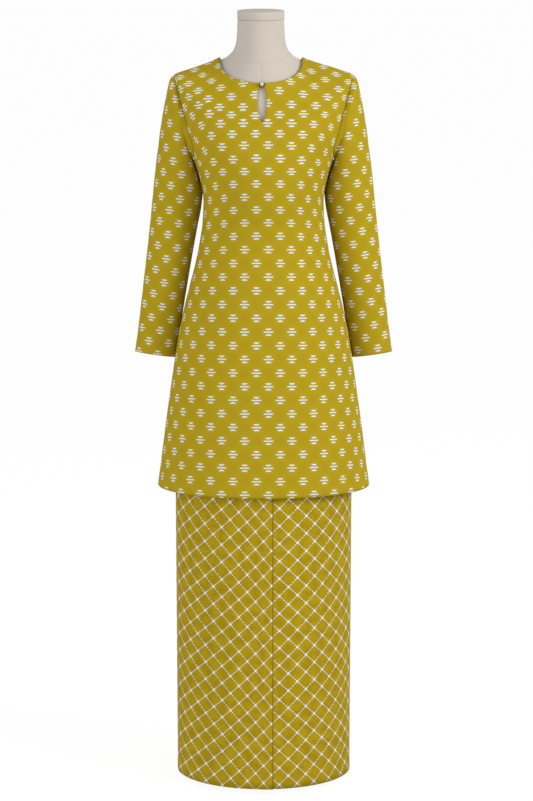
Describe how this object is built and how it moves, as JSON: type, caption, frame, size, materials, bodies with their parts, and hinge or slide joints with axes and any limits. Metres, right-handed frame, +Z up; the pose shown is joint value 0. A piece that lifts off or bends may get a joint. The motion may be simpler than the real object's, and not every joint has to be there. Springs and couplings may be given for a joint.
{
  "type": "baju kurung on a limbless dress form",
  "caption": "Long-sleeved tunic with a keyhole neck over a straight ankle-length skirt, displayed on a limbless dress form with a hidden round stand.",
  "frame": {"origin": "on the floor under the middle of the stand's base, below the centre of the bounding box", "axes": "+Z up, +X to the wearer's left, the garment's front faces -Y"},
  "size_m": [0.5014, 0.2758, 1.5107],
  "materials": {
    "tunic_print": "matte crepe, mustard with a small white woven-look print",
    "skirt_print": "matte crepe, mustard with a white dashed lattice print",
    "form_linen": "undyed linen stretched over the padded form",
    "stand_metal": "satin",
    "pearl": "pearl lustre",
    "loop_cord": "twisted cord"
  },
  "bodies": {
    "root": {"tunic_front": "tunic_print", "tunic_back": "tunic_print", "sleeve_left": "tunic_print", "sleeve_right": "tunic_print", "button": "pearl", "button_loop": "loop_cord", "skirt_front_left": "skirt_print", "skirt_front_right": "skirt_print", "skirt_back": "skirt_print", "skirt_waistband": "skirt_print", "form_torso": "form_linen", "form_neck_cap": "form_linen", "stand_pole": "stand_metal", "stand_collar": "stand_metal", "stand_base": "stand_metal"}
  },
  "joints": []
}
